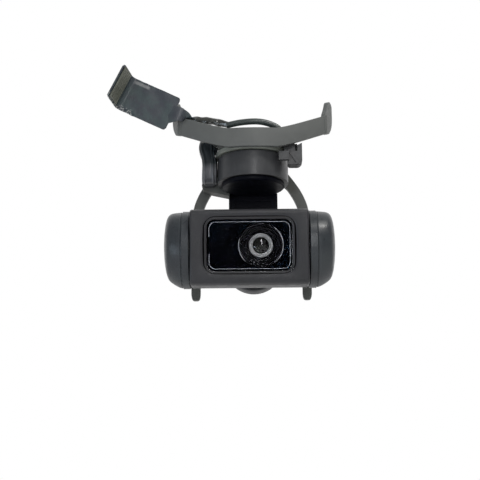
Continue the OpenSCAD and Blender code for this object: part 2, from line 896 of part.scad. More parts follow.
module lens_bezel() {
    color("#8d8f90") at_lens(-camera_front + 2) tube(bezel_r, lens_r, 0.6);
}

module front_lens() {
    color("#23301f") at_lens(-camera_front + 2.6) intersection() {
        cylinder(r = lens_r, h = 1.5);
        translate([0, 0, -2.2]) sphere(r = 3.2);
    }
}

module sensor_board() {
    color(board_color) at_camera() translate([lens_shift - 7, -1.95, -6]) cube([14, 0.8, 12]);
}

module heat_spreader() {
    color("#8f9396") at_camera() translate([-11, -1.1, -6.5]) {
        cube([22, 0.8, 13]);
        for (i = [0 : 5]) {
            translate([0.8 + i * 4, 0.8, 0]) cube([0.6, 1.6, 13]);
        }
    }
}

// Rotor of the pitch motor, fixed to the left end of the camera
module pitch_rotor() {
    color(drum_color) at_capsule() along_x(-1, camera_half) {
        bell(pitch_bell_r, bell_floor, pitch_bell_h, bell_floor);
        cylinder(r = shaft_r, h = pitch_bell_h + 0.8);
    }
}

module pitch_magnets() {
    color(steel_color) at_capsule() along_x(-1, camera_half + 1.4) magnets(pitch_bell_r - bell_floor, 2.4);
}

// Hollow stub on the right end of the camera, which runs in the idler bearing
module pivot_stub() {
    color(steel_color) at_capsule() along_x(1, camera_half) {
        tube(4.2, 1.2, 0.6);
        tube(2, 1.2, 4.8);
    }
}

// ---- Drawing ----

horn_bracket();
yaw_mount();
rear_damper();
bracket_screws();
yaw_stator_core();
yaw_coils();
yaw_bearing_upper();
yaw_bearing_lower();
yaw_driver_board();
board_connector();
yaw_stop_clip();
signal_cable();
taped_bundle();
flex_tail();
flex_stiffener();
flex_connector();
yaw_flex_loop();
yaw_cup();
yaw_magnets();
yaw_shaft();
yaw_post();
left_guard_leg();
right_guard_leg();
cable_clamp();
roll_housing();
roll_stator_core();
roll_coils();
roll_bearing_front();
roll_bearing_rear();
roll_encoder_board();
roll_rear_cover();
cover_screws();
roll_rotor_cup();
roll_magnets();
roll_shaft();
roll_beam();
frame_screws();
left_drum();
left_drum_cap();
pitch_stator_core();
pitch_coils();
pitch_bearing();
right_drum();
right_drum_cap();
idler_bearing();
camera_front_shell();
camera_rear_shell();
cover_glass();
glass_trim();
lens_surround();
lens_barrel();
lens_bezel();
front_lens();
sensor_board();
heat_spreader();
pitch_rotor();
pitch_magnets();
pivot_stub();
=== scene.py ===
import json
import math

import bmesh
import bpy
from mathutils import Matrix, Vector, noise

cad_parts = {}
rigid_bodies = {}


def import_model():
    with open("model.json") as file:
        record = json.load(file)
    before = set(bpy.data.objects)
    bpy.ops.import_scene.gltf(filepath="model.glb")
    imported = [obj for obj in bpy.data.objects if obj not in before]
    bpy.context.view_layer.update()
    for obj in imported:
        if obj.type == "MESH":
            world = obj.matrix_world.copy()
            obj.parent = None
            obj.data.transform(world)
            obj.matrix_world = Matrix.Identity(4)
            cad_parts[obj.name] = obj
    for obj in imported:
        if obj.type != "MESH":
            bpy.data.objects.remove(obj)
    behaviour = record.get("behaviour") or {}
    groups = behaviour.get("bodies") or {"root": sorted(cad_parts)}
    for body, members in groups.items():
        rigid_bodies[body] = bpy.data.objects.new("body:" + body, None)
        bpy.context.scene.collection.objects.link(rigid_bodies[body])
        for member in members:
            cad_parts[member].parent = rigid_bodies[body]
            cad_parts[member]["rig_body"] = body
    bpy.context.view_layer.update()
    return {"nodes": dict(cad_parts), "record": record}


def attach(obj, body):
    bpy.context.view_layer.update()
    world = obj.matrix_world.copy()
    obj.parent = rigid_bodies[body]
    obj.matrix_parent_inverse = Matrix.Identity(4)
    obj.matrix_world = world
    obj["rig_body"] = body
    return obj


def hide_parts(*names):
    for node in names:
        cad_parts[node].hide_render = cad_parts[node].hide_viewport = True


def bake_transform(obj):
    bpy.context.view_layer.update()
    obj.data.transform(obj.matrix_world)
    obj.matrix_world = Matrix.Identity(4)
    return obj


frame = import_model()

# Sizes are in millimetres here; MM turns them into the frame's metres.
MM = 0.001
record = frame["record"]
joints = {j["name"]: j for j in record["behaviour"]["joints"]}
slots = {s["node"]: s["material_slot"] for s in record["subparts"]}
REST_TILT = math.radians(8)

# Places: the row frame, the middle of the camera, and the tilted camera itself
ROW = Matrix.Scale(MM, 4)
CAPSULE = Matrix.Translation(Vector(joints["pitch"]["pos_m"])) @ ROW
CAMERA = CAPSULE @ Matrix.Rotation(REST_TILT, 4, "X")


# ---- Camera, floor and light ----

def add_camera():
    """Camera at the photograph's angle: 250 mm from the pitch axis, 13 degrees below it."""
    distance, below, roll = 0.250, math.radians(13), math.radians(0.6)
    target = Vector(joints["roll"]["pos_m"])
    data = bpy.data.cameras.new("camera")
    cam = bpy.data.objects.new("camera", data)
    cam.location = target - distance * Vector((0, math.cos(below), math.sin(below)))
    cam.rotation_euler = (math.pi / 2 + below, roll, 0)
    data.sensor_width = 36
    data.lens = 74.8
    data.shift_x = -0.0334
    data.shift_y = 0.0204
    data.clip_start = 0.01
    bpy.context.scene.collection.objects.link(cam)
    bpy.context.scene.camera = cam


def add_light(name, place, aim, size, power, colour=(1, 1, 1)):
    data = bpy.data.lights.new(name, "AREA")
    data.shape = "RECTANGLE"
    data.size, data.size_y = size
    data.energy = power
    data.color = colour
    lamp = bpy.data.objects.new(name, data)
    lamp.location = place
    lamp.rotation_euler = (Vector(aim) - Vector(place)).to_track_quat("-Z", "Y").to_euler()
    bpy.context.scene.collection.objects.link(lamp)


def add_stage():
    """Plain pale floor below the camera, and a white room that is dimmer behind it."""
    mesh = bpy.data.meshes.new("floor")
    half, low = 3.0, -0.16
    mesh.from_pydata([(-half, -half, low), (half, -half, low), (half, half, low), (-half, half, low)],
                     [], [(0, 1, 2, 3)])
    floor = bpy.data.objects.new("floor", mesh)
    bpy.context.scene.collection.objects.link(floor)
    paint = bpy.data.materials.new("floor_white")
    paint.use_nodes = True
    paint.node_tree.nodes["Principled BSDF"].inputs["Base Color"].default_value = (0.9, 0.9, 0.9, 1)
    paint.node_tree.nodes["Principled BSDF"].inputs["Roughness"].default_value = 0.8
    mesh.materials.append(paint)
    world = bpy.data.worlds.new("room")
    world.use_nodes = True
    tree = world.node_tree
    toward = tree.nodes.new("ShaderNodeSeparateXYZ")
    tree.links.new(tree.nodes.new("ShaderNodeTexCoord").outputs["Generated"], toward.inputs[0])
    shade = tree.nodes.new("ShaderNodeMapRange")
    for socket, number in (("From Min", -0.3), ("From Max", 0.65), ("To Min", 0.27), ("To Max", 1.0)):
        shade.inputs[socket].default_value = number
    tree.links.new(toward.outputs["Y"], shade.inputs["Value"])
    tree.links.new(shade.outputs["Result"], tree.nodes["Background"].inputs["Strength"])
    tree.nodes["Background"].inputs["Color"].default_value = (1, 1, 1, 1)
    bpy.context.scene.world = world
    bpy.context.scene.view_settings.view_transform = "Standard"
    aim = Vector(joints["yaw"]["pos_m"]) + Vector((0, 0, -0.015))
    add_light("key", (0.18, -0.22, 0.42), aim, (0.22, 0.08), 1.5, (1.0, 0.99, 0.96))
    add_light("front", (0.04, -0.45, 0.10), aim, (0.05, 0.30), 0.45)
    add_light("fill", (-0.36, -0.34, -0.14), aim, (0.30, 0.20), 0.72, (0.70, 0.85, 1.0))


# ---- Materials ----

PAINTS = {}


class Paint:
    """A Principled material whose texture is measured in millimetres on the object."""

    def __init__(self, name, colour, rough, metallic=0.0, coat=0.0, ior=1.5, transmission=0.0,
                 specular=0.5):
        PAINTS[name] = self
        self.material = bpy.data.materials.new(name)
        self.material.use_nodes = True
        self.tree = self.material.node_tree
        self.shader = self.tree.nodes["Principled BSDF"]
        self.colour = colour
        self.rough = rough
        values = {"Base Color": (*colour, 1), "Roughness": rough, "Metallic": metallic, "IOR": ior,
                  "Coat Weight": coat, "Coat Roughness": 0.12, "Transmission Weight": transmission,
                  "Specular IOR Level": specular}
        for socket, value in values.items():
            self.shader.inputs[socket].default_value = value
        self.place = self.tree.nodes.new("ShaderNodeTexCoord").outputs["Object"]
        self.height = None

    def node(self, kind, **inputs):
        made = self.tree.nodes.new(kind)
        for key, value in inputs.items():
            socket = key.replace("_", " ")
            if isinstance(value, bpy.types.NodeSocket):
                self.tree.links.new(value, made.inputs[socket])
            else:
                made.inputs[socket].default_value = value
        return made

    def stretched(self, stretch):
        """Object coordinates, scaled so that a noise runs in long streaks."""
        return self.node("ShaderNodeMapping", Vector=self.place, Scale=stretch).outputs["Vector"]

    def noise(self, size_mm, detail=4.0, stretch=None):
        place = self.stretched(stretch) if stretch else self.place
        made = self.node("ShaderNodeTexNoise", Vector=place, Scale=1000 / size_mm, Detail=detail,
                         Roughness=0.55, Distortion=0.0)
        return made.outputs["Fac"]

    def remap(self, value, low, high, to_low, to_high):
        made = self.node("ShaderNodeMapRange", Value=value)
        ends = {"From Min": low, "From Max": high, "To Min": to_low, "To Max": to_high}
        for socket, number in ends.items():
            made.inputs[socket].default_value = number
        return made.outputs["Result"]

    def mix(self, factor, first, second):
        made = self.tree.nodes.new("ShaderNodeMix")
        made.data_type = "RGBA"
        self.tree.links.new(factor, made.inputs[0])
        for socket, value in ((made.inputs[6], first), (made.inputs[7], second)):
            if isinstance(value, bpy.types.NodeSocket):
                self.tree.links.new(value, socket)
            else:
                socket.default_value = (*value, 1)
        return made.outputs[2]

    def mottle(self, other, size_mm, low=0.35, high=0.65, first=None):
        """Blotches of another colour."""
        factor = self.remap(self.noise(size_mm, 3.0), low, high, 0, 1)
        return self.paint(self.mix(factor, first or self.colour, other))

    def paint(self, socket):
        self.tree.links.new(socket, self.shader.inputs["Base Color"])
        self.colour = socket
        return self

    def wear(self, colour, amount, threshold=0.53):
        """Paler edges, where handling has polished them."""
        point = self.tree.nodes.new("ShaderNodeNewGeometry").outputs["Pointiness"]
        edge = self.remap(point, threshold, threshold + 0.09, 0, amount)
        return self.paint(self.mix(edge, self.colour, colour))

    def ramp(self, value, low, high):
        """0 to 1 as a value goes from low to high, which may run downwards; clamped."""
        return self.remap(value, low, high, 0, 1)

    def product(self, *values):
        total = values[0]
        for value in values[1:]:
            made = self.tree.nodes.new("ShaderNodeMath")
            made.operation = "MULTIPLY"
            self.tree.links.new(total, made.inputs[0])
            self.tree.links.new(value, made.inputs[1])
            total = made.outputs[0]
        return total

    def measured(self, start, direction):
        """Distance in mm from a point (mm) along a direction."""
        moved = self.tree.nodes.new("ShaderNodeVectorMath")
        moved.operation = "SUBTRACT"
        self.tree.links.new(self.place, moved.inputs[0])
        moved.inputs[1].default_value = Vector(start) * MM
        along = self.tree.nodes.new("ShaderNodeVectorMath")
        along.operation = "DOT_PRODUCT"
        self.tree.links.new(moved.outputs[0], along.inputs[0])
        along.inputs[1].default_value = Vector(direction) / MM
        return along.outputs["Value"]

    def painted_glints(self):
        """Painted highlights: pale flecks along the wrinkled lower edge, and a pale painted reflection across
        the sheet near the bent end of the flex tail.
        """
        run = self.measured(TAIL_CORNER, (-math.cos(TAIL_LEAN), 0, math.sin(TAIL_LEAN)))
        across = self.measured(TAIL_CORNER, (math.sin(TAIL_LEAN), 0, math.cos(TAIL_LEAN)))
        # Painted highlights: pale flecks along the wrinkled lower edge near the bend
        edge_glint = self.product(self.ramp(across, 1.4, 0.4), self.ramp(run, 9.0, 10.6),
                               self.ramp(self.noise(0.5, 2.0), 0.50, 0.64))
        self.paint(self.mix(edge_glint, self.colour, (0.46, 0.46, 0.44)))
        # Painted reflection: a pale strip near the upper edge, running up to the bend
        painted_reflection = self.product(self.ramp(across, 8.0, 8.3), self.ramp(across, 9.1, 8.8),
                            self.ramp(run, 8.3, 8.9), self.ramp(run, 13.2, 12.4))
        return self.paint(self.mix(painted_reflection, self.colour, (0.17, 0.175, 0.18)))

    def roughen(self, size_mm, spread, stretch=None):
        value = self.remap(self.noise(size_mm, 5.0, stretch=stretch), 0.3, 0.7,
                           max(self.rough - spread, 0.02), min(self.rough + spread, 1))
        self.tree.links.new(value, self.shader.inputs["Roughness"])
        return self

    def bump(self, size_mm, depth_mm, strength=1.0, stretch=None, detail=4.0):
        value = self.noise(size_mm, detail, stretch=stretch)
        made = self.node("ShaderNodeBump", Height=value, Strength=strength, Distance=depth_mm * MM)
        if self.height is not None:
            self.tree.links.new(self.height, made.inputs["Normal"])
        self.height = made.outputs["Normal"]
        self.tree.links.new(self.height, self.shader.inputs["Normal"])
        return self


def moulded(name, colour, rough, other=None, grain=0.12, depth=0.02, worn=0.12, specular=0.35):
    """Moulded plastic or fine paint: spark-eroded grain, faint blotches, polished edges."""
    made = Paint(name, colour, rough, specular=specular)
    made.mottle(other or tuple(c * 1.25 for c in colour), 6.0)
    made.wear(tuple(min(c * 3 + 0.02, 1) for c in colour), worn)
    made.roughen(1.5, 0.08)
    made.bump(grain, depth, 0.5)
    made.bump(4.0, 0.05, 0.25)
    return made


def build_paints():
    moulded("mask_black", (0.0012, 0.0011, 0.0028), 0.30, (0.0010, 0.0030, 0.0055), worn=0.0, specular=0.02)
    # Painted shade: near black, much darker than the legs of the same arm, for the deep shade under the cup
    moulded("post_black", (0.0020, 0.0024, 0.0055), 0.42, (0.0036, 0.0040, 0.0075), worn=0.1, specular=0.10)
    moulded("iris_dark", (0.004, 0.005, 0.003), 0.15, worn=0.0, specular=0.3)
    moulded("bracket_grey", (0.076, 0.079, 0.077), 0.46, (0.088, 0.092, 0.088), 0.18, 0.02)
    moulded("arm_black", (0.026, 0.027, 0.030), 0.45, (0.036, 0.037, 0.040))
    moulded("clip_grey", (0.036, 0.037, 0.038), 0.42, (0.046, 0.046, 0.048))
    moulded("leg_grey", (0.078, 0.080, 0.075), 0.48, (0.090, 0.092, 0.084))
    moulded("drum_grey", (0.026, 0.029, 0.034), 0.34, (0.031, 0.037, 0.041))
    moulded("shell_grey", (0.0185, 0.0190, 0.0215), 0.42, (0.023, 0.023, 0.027))
    cup = moulded("cup_grey", (0.040, 0.041, 0.044), 0.36, (0.046, 0.047, 0.050), 0.09, 0.012)
    moulded("frame_grey", (0.019, 0.0195, 0.021), 0.42, (0.023, 0.023, 0.026), worn=0.0)
    # Painted light: a paler copy of the bracket grey that stands in for light falling on the motor flange
    moulded("flange_lit_grey", (0.165, 0.175, 0.155), 0.46, (0.185, 0.195, 0.170), 0.18, 0.01)
    # Painted shade: the cup's lower edge and underside turn nearly black, for the shadow under the cup
    painted_shade_low = cup.ramp(cup.measured((0, 0, -10.0), (0, 0, -1)), 0.02, 0.14)
    cup.paint(cup.mix(painted_shade_low, cup.colour, (0.002, 0.002, 0.003)))
    moulded("part_black", (0.014, 0.014, 0.016), 0.35, worn=0.2)
    moulded("lens_black", (0.0016, 0.0016, 0.0026), 0.34, (0.0028, 0.0028, 0.0046), 0.5, 0.004,
            worn=0.0, specular=0.12)
    moulded("rubber", (0.018, 0.018, 0.018), 0.75, grain=0.2, depth=0.03, worn=0.1)
    steel = Paint("steel", (0.58, 0.59, 0.60), 0.28, metallic=1.0)
    steel.mottle((0.46, 0.47, 0.48), 2.0).roughen(0.4, 0.14, (1, 1, 12)).bump(0.25, 0.01, 0.4, (1, 1, 14))
    copper = Paint("copper", (0.62, 0.27, 0.11), 0.32, metallic=1.0, coat=0.4)
    copper.mottle((0.48, 0.18, 0.07), 1.2).roughen(0.5, 0.1).bump(0.22, 0.06, 0.8, (1, 1, 9))
    alloy = Paint("heat_alu", (0.60, 0.61, 0.62), 0.42, metallic=1.0)
    alloy.mottle((0.50, 0.51, 0.52), 3.0).roughen(0.6, 0.12).bump(0.3, 0.02, 0.5)
    board = Paint("board_green", (0.016, 0.085, 0.045), 0.28, coat=0.5)
    board.mottle((0.030, 0.120, 0.060), 0.9, 0.48, 0.52).roughen(1.0, 0.08).bump(0.7, 0.02, 0.5)
    contact = Paint("contact_grey", (0.105, 0.110, 0.088), 0.40, metallic=0.2)
    contact.mottle((0.150, 0.155, 0.130), 3.5).roughen(2.0, 0.08).bump(2.5, 0.02, 0.15)
    bezel = Paint("bezel_grey", (0.26, 0.265, 0.25), 0.38)
    bezel.mottle((0.19, 0.19, 0.185), 1.5).roughen(0.4, 0.08).bump(0.15, 0.006, 0.4)
    # Pale grey for the painted highlights: the line inside the window's edge and the arcs round the lens
    line = Paint("line_grey", (0.42, 0.44, 0.46), 0.4)
    line.mottle((0.30, 0.32, 0.34), 1.5).roughen(0.5, 0.1).bump(0.1, 0.004, 0.3)
    tape = Paint("tape_black", (0.045, 0.047, 0.042), 0.18, coat=0.8)
    tape.mottle((0.024, 0.025, 0.023), 1.8).roughen(0.8, 0.08)
    tape.bump(1.6, 0.5, 0.9, detail=2.0)
    cable = Paint("cable_green", (0.030, 0.038, 0.038), 0.34, coat=0.15, specular=0.35)
    cable.mottle((0.050, 0.062, 0.058), 3.0).roughen(0.8, 0.08).bump(0.6, 0.03, 0.4, (0.15, 1, 1))
    flex = Paint("flex_grey", (0.038, 0.043, 0.053), 0.42, coat=0.1, specular=0.35)
    flex.mottle((0.042, 0.058, 0.062), 3.5, 0.42, 0.60).wear((0.30, 0.31, 0.30), 0.10, 0.56)
    # Painted highlights and a painted reflection near the bent end of the flex tail
    flex.painted_glints()
    flex.roughen(2.0, 0.10).bump(3.0, 0.08, 0.35).bump(0.2, 0.006, 0.1)
    loop = Paint("loop_black", (0.014, 0.019, 0.022), 0.36, coat=0.15, specular=0.3)
    low = loop.tree.nodes.new("ShaderNodeSeparateXYZ")
    loop.tree.links.new(loop.place, low.inputs[0])
    # Paler lower down, towards the clamp
    loop.paint(loop.mix(loop.remap(low.outputs["Z"], -0.0048, -0.0066, 0, 1), (0.014, 0.019, 0.022),
                        (0.105, 0.108, 0.118)))
    loop.mottle((0.030, 0.034, 0.038), 2.5, 0.5, 0.8, first=loop.colour).roughen(0.9, 0.08)
    loop.bump(1.6, 0.05, 0.4, (1, 1, 0.1))
    glass = Paint("cover_glass", (0.92, 0.92, 0.95), 0.02, transmission=1.0, ior=1.0)
    glass.roughen(6.0, 0.008).bump(9.0, 0.004, 0.1)
    dome = Paint("lens_glass", (0.10, 0.12, 0.075), 0.03, transmission=1.0, ior=1.5)
    dome.roughen(2.0, 0.01).bump(3.0, 0.003, 0.1)
    iris = Paint("iris_olive", (0.008, 0.010, 0.004), 0.20, specular=0.4)
    iris.mottle((0.110, 0.120, 0.045), 0.7, 0.55, 0.75).roughen(0.5, 0.08).bump(0.2, 0.01, 0.4)


# ---- Mesh tools ----

SIDE = {-1: Matrix.Rotation(-math.pi / 2, 4, "Y"), 1: Matrix.Rotation(math.pi / 2, 4, "Y")}
BACK = Matrix.Rotation(-math.pi / 2, 4, "X")
FRONT = Matrix.Rotation(math.pi / 2, 4, "X")


def shift(x=0.0, y=0.0, z=0.0):
    return Matrix.Translation((x, y, z))


def smooth_step(t):
    t = min(max(t, 0.0), 1.0)
    return t * t * (3 - 2 * t)


def fillet(points, radius, steps=5):
    """Outline whose corners are cut back by radius, or by one radius each, and rounded."""
    count = len(points)
    radii = radius if isinstance(radius, (list, tuple)) else [radius] * count
    made = []
    for i, point in enumerate(points):
        corner = Vector(point)
        if radii[i] == 0:
            made.append(corner)
            continue
        before = Vector(points[i - 1]) - corner
        after = Vector(points[(i + 1) % count]) - corner
        cut = min(radii[i], 0.49 * before.length, 0.49 * after.length)
        first = corner + before.normalized() * cut
        last = corner + after.normalized() * cut
        for k in range(steps + 1):
            t = k / steps
            made.append(first * (1 - t) ** 2 + corner * 2 * t * (1 - t) + last * t * t)
    return made


def round_rect(width, height, radius, steps=8, bulge=0.0):
    """Rectangle with round corners, whose sides may bulge outwards."""
    points = []
    for sx, sy, turn in ((1, 1, 0), (-1, 1, 90), (-1, -1, 180), (1, -1, 270)):
        for k in range(steps + 1):
            a = math.radians(turn + 90 * k / steps)
            points.append((sx * (width / 2 - radius) + radius * math.cos(a),
                           sy * (height / 2 - radius) + radius * math.sin(a)))
    fine = []
    for (x0, y0), (x1, y1) in zip(points, points[1:] + points[:1]):
        parts = 8 if math.hypot(x1 - x0, y1 - y0) > radius else 1
        fine += [(x0 + (x1 - x0) * k / parts, y0 + (y1 - y0) * k / parts) for k in range(parts)]
    half_w, half_h = width / 2, height / 2
    return [Vector((x * (1 + bulge / half_w * (1 - (y / half_h) ** 2)),
                    y * (1 + bulge / half_h * 0.5 * (1 - (x / half_w) ** 2)))) for x, y in fine]


def circle(radius, steps=96, centre=(0, 0)):
    return [Vector((centre[0] + radius * math.cos(2 * math.pi * k / steps),
                    centre[1] + radius * math.sin(2 * math.pi * k / steps))) for k in range(steps)]


def loft(rings, cap=True):
    """Skin through rings that all have the same number of points."""
    size = len(rings[0])
    verts = [tuple(p) for ring in rings for p in ring]
    faces = [(i * size + k, i * size + (k + 1) % size, (i + 1) * size + (k + 1) % size, (i + 1) * size + k)
             for i in range(len(rings) - 1) for k in range(size)]
    if cap:
        faces.append(tuple(reversed(range(size))))
        faces.append(tuple(range((len(rings) - 1) * size, len(rings) * size)))
    return verts, faces


def stack(outlines, heights):
    """Loft of flat outlines at heights along Z."""
    return loft([[(p[0], p[1], z) for p in outline] for outline, z in zip(outlines, heights)])


def lathe(profile, steps=96):
    """Closed (radius, height) profile turned round Z."""
    size = len(profile)
    verts, faces = [], []
    for k in range(steps):
        a = 2 * math.pi * k / steps
        verts += [(r * math.cos(a), r * math.sin(a), h) for r, h in profile]
    for k in range(steps):
        for i in range(size):
            j = (i + 1) % size
            following = (k + 1) % steps
            faces.append((k * size + i, k * size + j, following * size + j, following * size + i))
    return verts, faces


def joined(*shapes):
    """Several (verts, faces) shapes as one."""
    verts, faces = [], []
    for part_verts, part_faces in shapes:
        start = len(verts)
        verts += part_verts
        faces += [tuple(start + i for i in face) for face in part_faces]
    return verts, faces


def moved(shape, matrix):
    return [tuple(matrix @ Vector(v)) for v in shape[0]], shape[1]


def box(low, high):
    x0, y0, z0 = low
    x1, y1, z1 = high
    outline = [(x0, y0), (x1, y0), (x1, y1), (x0, y1)]
    return stack([outline, outline], [z0, z1])


def sweep(path, section, up):
    """Tube along a path; section(i) gives its (sideways, up) outline at point i."""
    rings = []
    points = [Vector(p) for p in path]
    for i, point in enumerate(points):
        ahead = points[min(i + 1, len(points) - 1)] - points[max(i - 1, 0)]
        ahead.normalize()
        side = ahead.cross(Vector(up)).normalized()
        top = side.cross(ahead).normalized()
        rings.append([point + side * a + top * b for a, b in section(i)])
    return loft(rings)


def spline(points, steps=8):
    """Smooth curve through points (Catmull-Rom)."""
    p = [Vector(q) for q in points]
    p = [2 * p[0] - p[1]] + p + [2 * p[-1] - p[-2]]
    made = []
    for i in range(1, len(p) - 2):
        for k in range(steps):
            t = k / steps
            a, b, c, d = p[i - 1], p[i], p[i + 1], p[i + 2]
            made.append(0.5 * (2 * b + (c - a) * t + (2 * a - 5 * b + 4 * c - d) * t * t
                               + (3 * b - a - 3 * c + d) * t ** 3))
    made.append(p[-2])
    return made


def solid(shape):
    """A closed mesh as a scratch object, in millimetres."""
    mesh = bpy.data.meshes.new("scratch")
    mesh.from_pydata([tuple(v) for v in shape[0]], [], shape[1])
    work = bmesh.new()
    work.from_mesh(mesh)
    bmesh.ops.remove_doubles(work, verts=work.verts, dist=0.0005)
    bmesh.ops.dissolve_degenerate(work, edges=work.edges, dist=0.0005)
    loose = [e for e in work.edges if not e.link_faces]
    bmesh.ops.delete(work, geom=loose, context="EDGES")
    bmesh.ops.recalc_face_normals(work, faces=work.faces)
    work.to_mesh(mesh)
    work.free()
    made = bpy.data.objects.new("scratch", mesh)
    bpy.context.scene.collection.objects.link(made)
    return made


def combine(target, tools, operation="DIFFERENCE"):
    """Scratch object after a boolean with each tool."""
    for tool in tools:
        step = target.modifiers.new("step", "BOOLEAN")
        step.operation = operation
        step.object = tool
        step.solver = "EXACT"
    graph = bpy.context.evaluated_depsgraph_get()
    mesh = bpy.data.meshes.new_from_object(target.evaluated_get(graph))
    for used in (target, *tools):
        bpy.data.objects.remove(used)
    made = bpy.data.objects.new("scratch", mesh)
    bpy.context.scene.collection.objects.link(made)
    return made


def piece(name, shape, place, body, paint, nodes=(), edge=0.0, sharp=35):
    """A finished piece from a shape or a scratch object: placed, painted, riding on its body."""
    scratch = shape if isinstance(shape, bpy.types.Object) else solid(shape)
    mesh = scratch.data.copy()
    bpy.data.objects.remove(scratch)
    mesh.transform(place)
    mesh.name = name
    mesh.materials.clear()
    mesh.materials.append(PAINTS[paint].material)
    mesh.shade_smooth()
    mesh.set_sharp_from_angle(angle=math.radians(sharp))
    made = bpy.data.objects.new(name, mesh)
    bpy.context.scene.collection.objects.link(made)
    if edge:
        soften(made, edge, sharp)
    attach(made, body)
    if nodes:
        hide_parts(*nodes)
    return made


def soften(thing, width, angle=35):
    """Small round edges that catch the light."""
    bevel = thing.modifiers.new("edges", "BEVEL")
    bevel.width = width * MM
    bevel.segments = 2
    bevel.limit_method = "ANGLE"
    bevel.angle_limit = math.radians(angle)
    bevel.use_clamp_overlap = True
    bevel.harden_normals = True


# ---- Camera body ----

CAMERA_HALF, CAMERA_FRONT = 14.5, -9.5
BACK_R, FACE_HALF, SHELL_WALL = 9.95, 8.65, 1.0
# The two shells meet in a narrow groove
SEAM_Y, SEAM_HALF = 1.0, 0.06
GLASS_W, GLASS_H, GLASS_CORNER, GLASS_UP = 20.6, 12.4, 1.9, 0.4
LENS_X, LENS_HOLE = 2.75, 5.52
LENS = CAMERA @ shift(LENS_X, 0, GLASS_UP) @ FRONT
FACE = CAMERA @ shift(0, 0, GLASS_UP) @ FRONT


def body_outline(inset, round_by):
    """Side view of the body, (depth, height): flat front, bevels, crowned top, round back."""
    back = [((BACK_R - inset) * math.sin(math.radians(a)), (BACK_R - inset) * math.cos(math.radians(a)))
            for a in range(20, 161, 5)]
    front = [(-8.0 + 0.4 * inset, -9.3 + inset), (CAMERA_FRONT + inset, -FACE_HALF + inset),
             (CAMERA_FRONT + inset, FACE_HALF - inset), (-8.0 + 0.4 * inset, 9.3 - inset)]
    middle_top, middle_low = (-1.0, 9.62 - inset), (-1.0, -9.62 + inset)
    points = [middle_top, *back, middle_low, *front]
    radii = [0] * (1 + len(back) + 1) + [round_by * 0.8, round_by, round_by, round_by * 0.8]
    return fillet(points, radii, 5)


def shell_piece(name, low_y, high_y, node, cut_window):
    """Hollow body between two depths, its ends rounded towards the drums."""
    ends = [(CAMERA_HALF, 0.42), (CAMERA_HALF - 0.12, 0.16), (CAMERA_HALF - 0.42, 0.0)]
    stations = [(-x, inset) for x, inset in ends] + [(x, inset) for x, inset in reversed(ends)]
    outer = loft([[(x, y, z) for y, z in body_outline(inset, 0.7)] for x, inset in stations])
    inner_half = CAMERA_HALF - SHELL_WALL
    inner = loft([[(x, y, z) for y, z in body_outline(SHELL_WALL, 0.3)] for x in (-inner_half, inner_half)])
    cuts = [solid(inner)]
    if low_y is not None:
        cuts.append(solid(box((-30, -30, -30), (30, low_y, 30))))
    if high_y is not None:
        cuts.append(solid(box((-30, high_y, -30), (30, 30, 30))))
    body = combine(solid(outer), cuts)
    if cut_window:
        # Window with a soft rim that slopes in to the glass
        rim = [(0.70, 7.4), (0.70, 9.2), (0.76, 9.33), (1.0, 9.42), (1.35, 9.48), (1.9, 9.55)]
        window = stack([round_rect(GLASS_W + 2 * grow, GLASS_H + 2 * grow, GLASS_CORNER + grow, 8, 0.35)
                        for grow, _ in rim], [h for _, h in rim])
        tool = solid(moved(window, shift(0, 0, GLASS_UP) @ FRONT))
        body = combine(body, [tool])
    return piece(name, body, CAMERA, "camera", "shell_grey", [node], sharp=28)


def build_camera_body():
    shell_piece("camera_front_housing", None, SEAM_Y - SEAM_HALF, "camera_front_shell", True)
    shell_piece("camera_rear_housing", SEAM_Y + SEAM_HALF, None, "camera_rear_shell", False)


def build_glass():
    rows = [(8.55, -0.12), (9.12, -0.02), (9.24, -0.02), (9.32, -0.10), (9.35, -0.28)]
    glass = stack([round_rect(GLASS_W + 2 * grow, GLASS_H + 2 * grow, GLASS_CORNER + grow, 8, 0.02)
                   for _, grow in rows], [h for h, _ in rows])
    piece("cover_window", glass, FACE, "camera", "cover_glass", ["cover_glass"])
    # Dark frame the glass is glued into
    outer, inner = [], []
    for height, grow in ((8.3, 0.67), (9.28, 0.67), (9.36, 0.58), (9.30, 0.30)):
        outer.append([(p[0], p[1], height) for p in
                      round_rect(GLASS_W + 2 * grow, GLASS_H + 2 * grow, GLASS_CORNER + grow, 8, 0.03)])
    for height, grow in ((9.16, 0.12), (8.9, 0.06), (8.3, 0.06)):
        inner.append([(p[0], p[1], height) for p in
                      round_rect(GLASS_W + 2 * grow, GLASS_H + 2 * grow, GLASS_CORNER + grow, 8, 0.02)])
    rings = outer + inner
    frame_shape = loft(rings + [rings[0]], cap=False)
    piece("window_frame", frame_shape, FACE, "camera", "frame_grey", ["glass_trim"])
    # Mask behind the glass, with the hole for the lens
    plate = solid(stack([round_rect(GLASS_W - 0.1, GLASS_H - 0.1, GLASS_CORNER, 8)] * 3, [7.9, 8.3, 8.5]))
    hole = solid(moved(stack([circle(LENS_HOLE)] * 2, [7, 9]), shift(LENS_X, 0, 0)))
    piece("lens_mask", combine(plate, [hole]), FACE, "camera", "mask_black", ["lens_surround"])


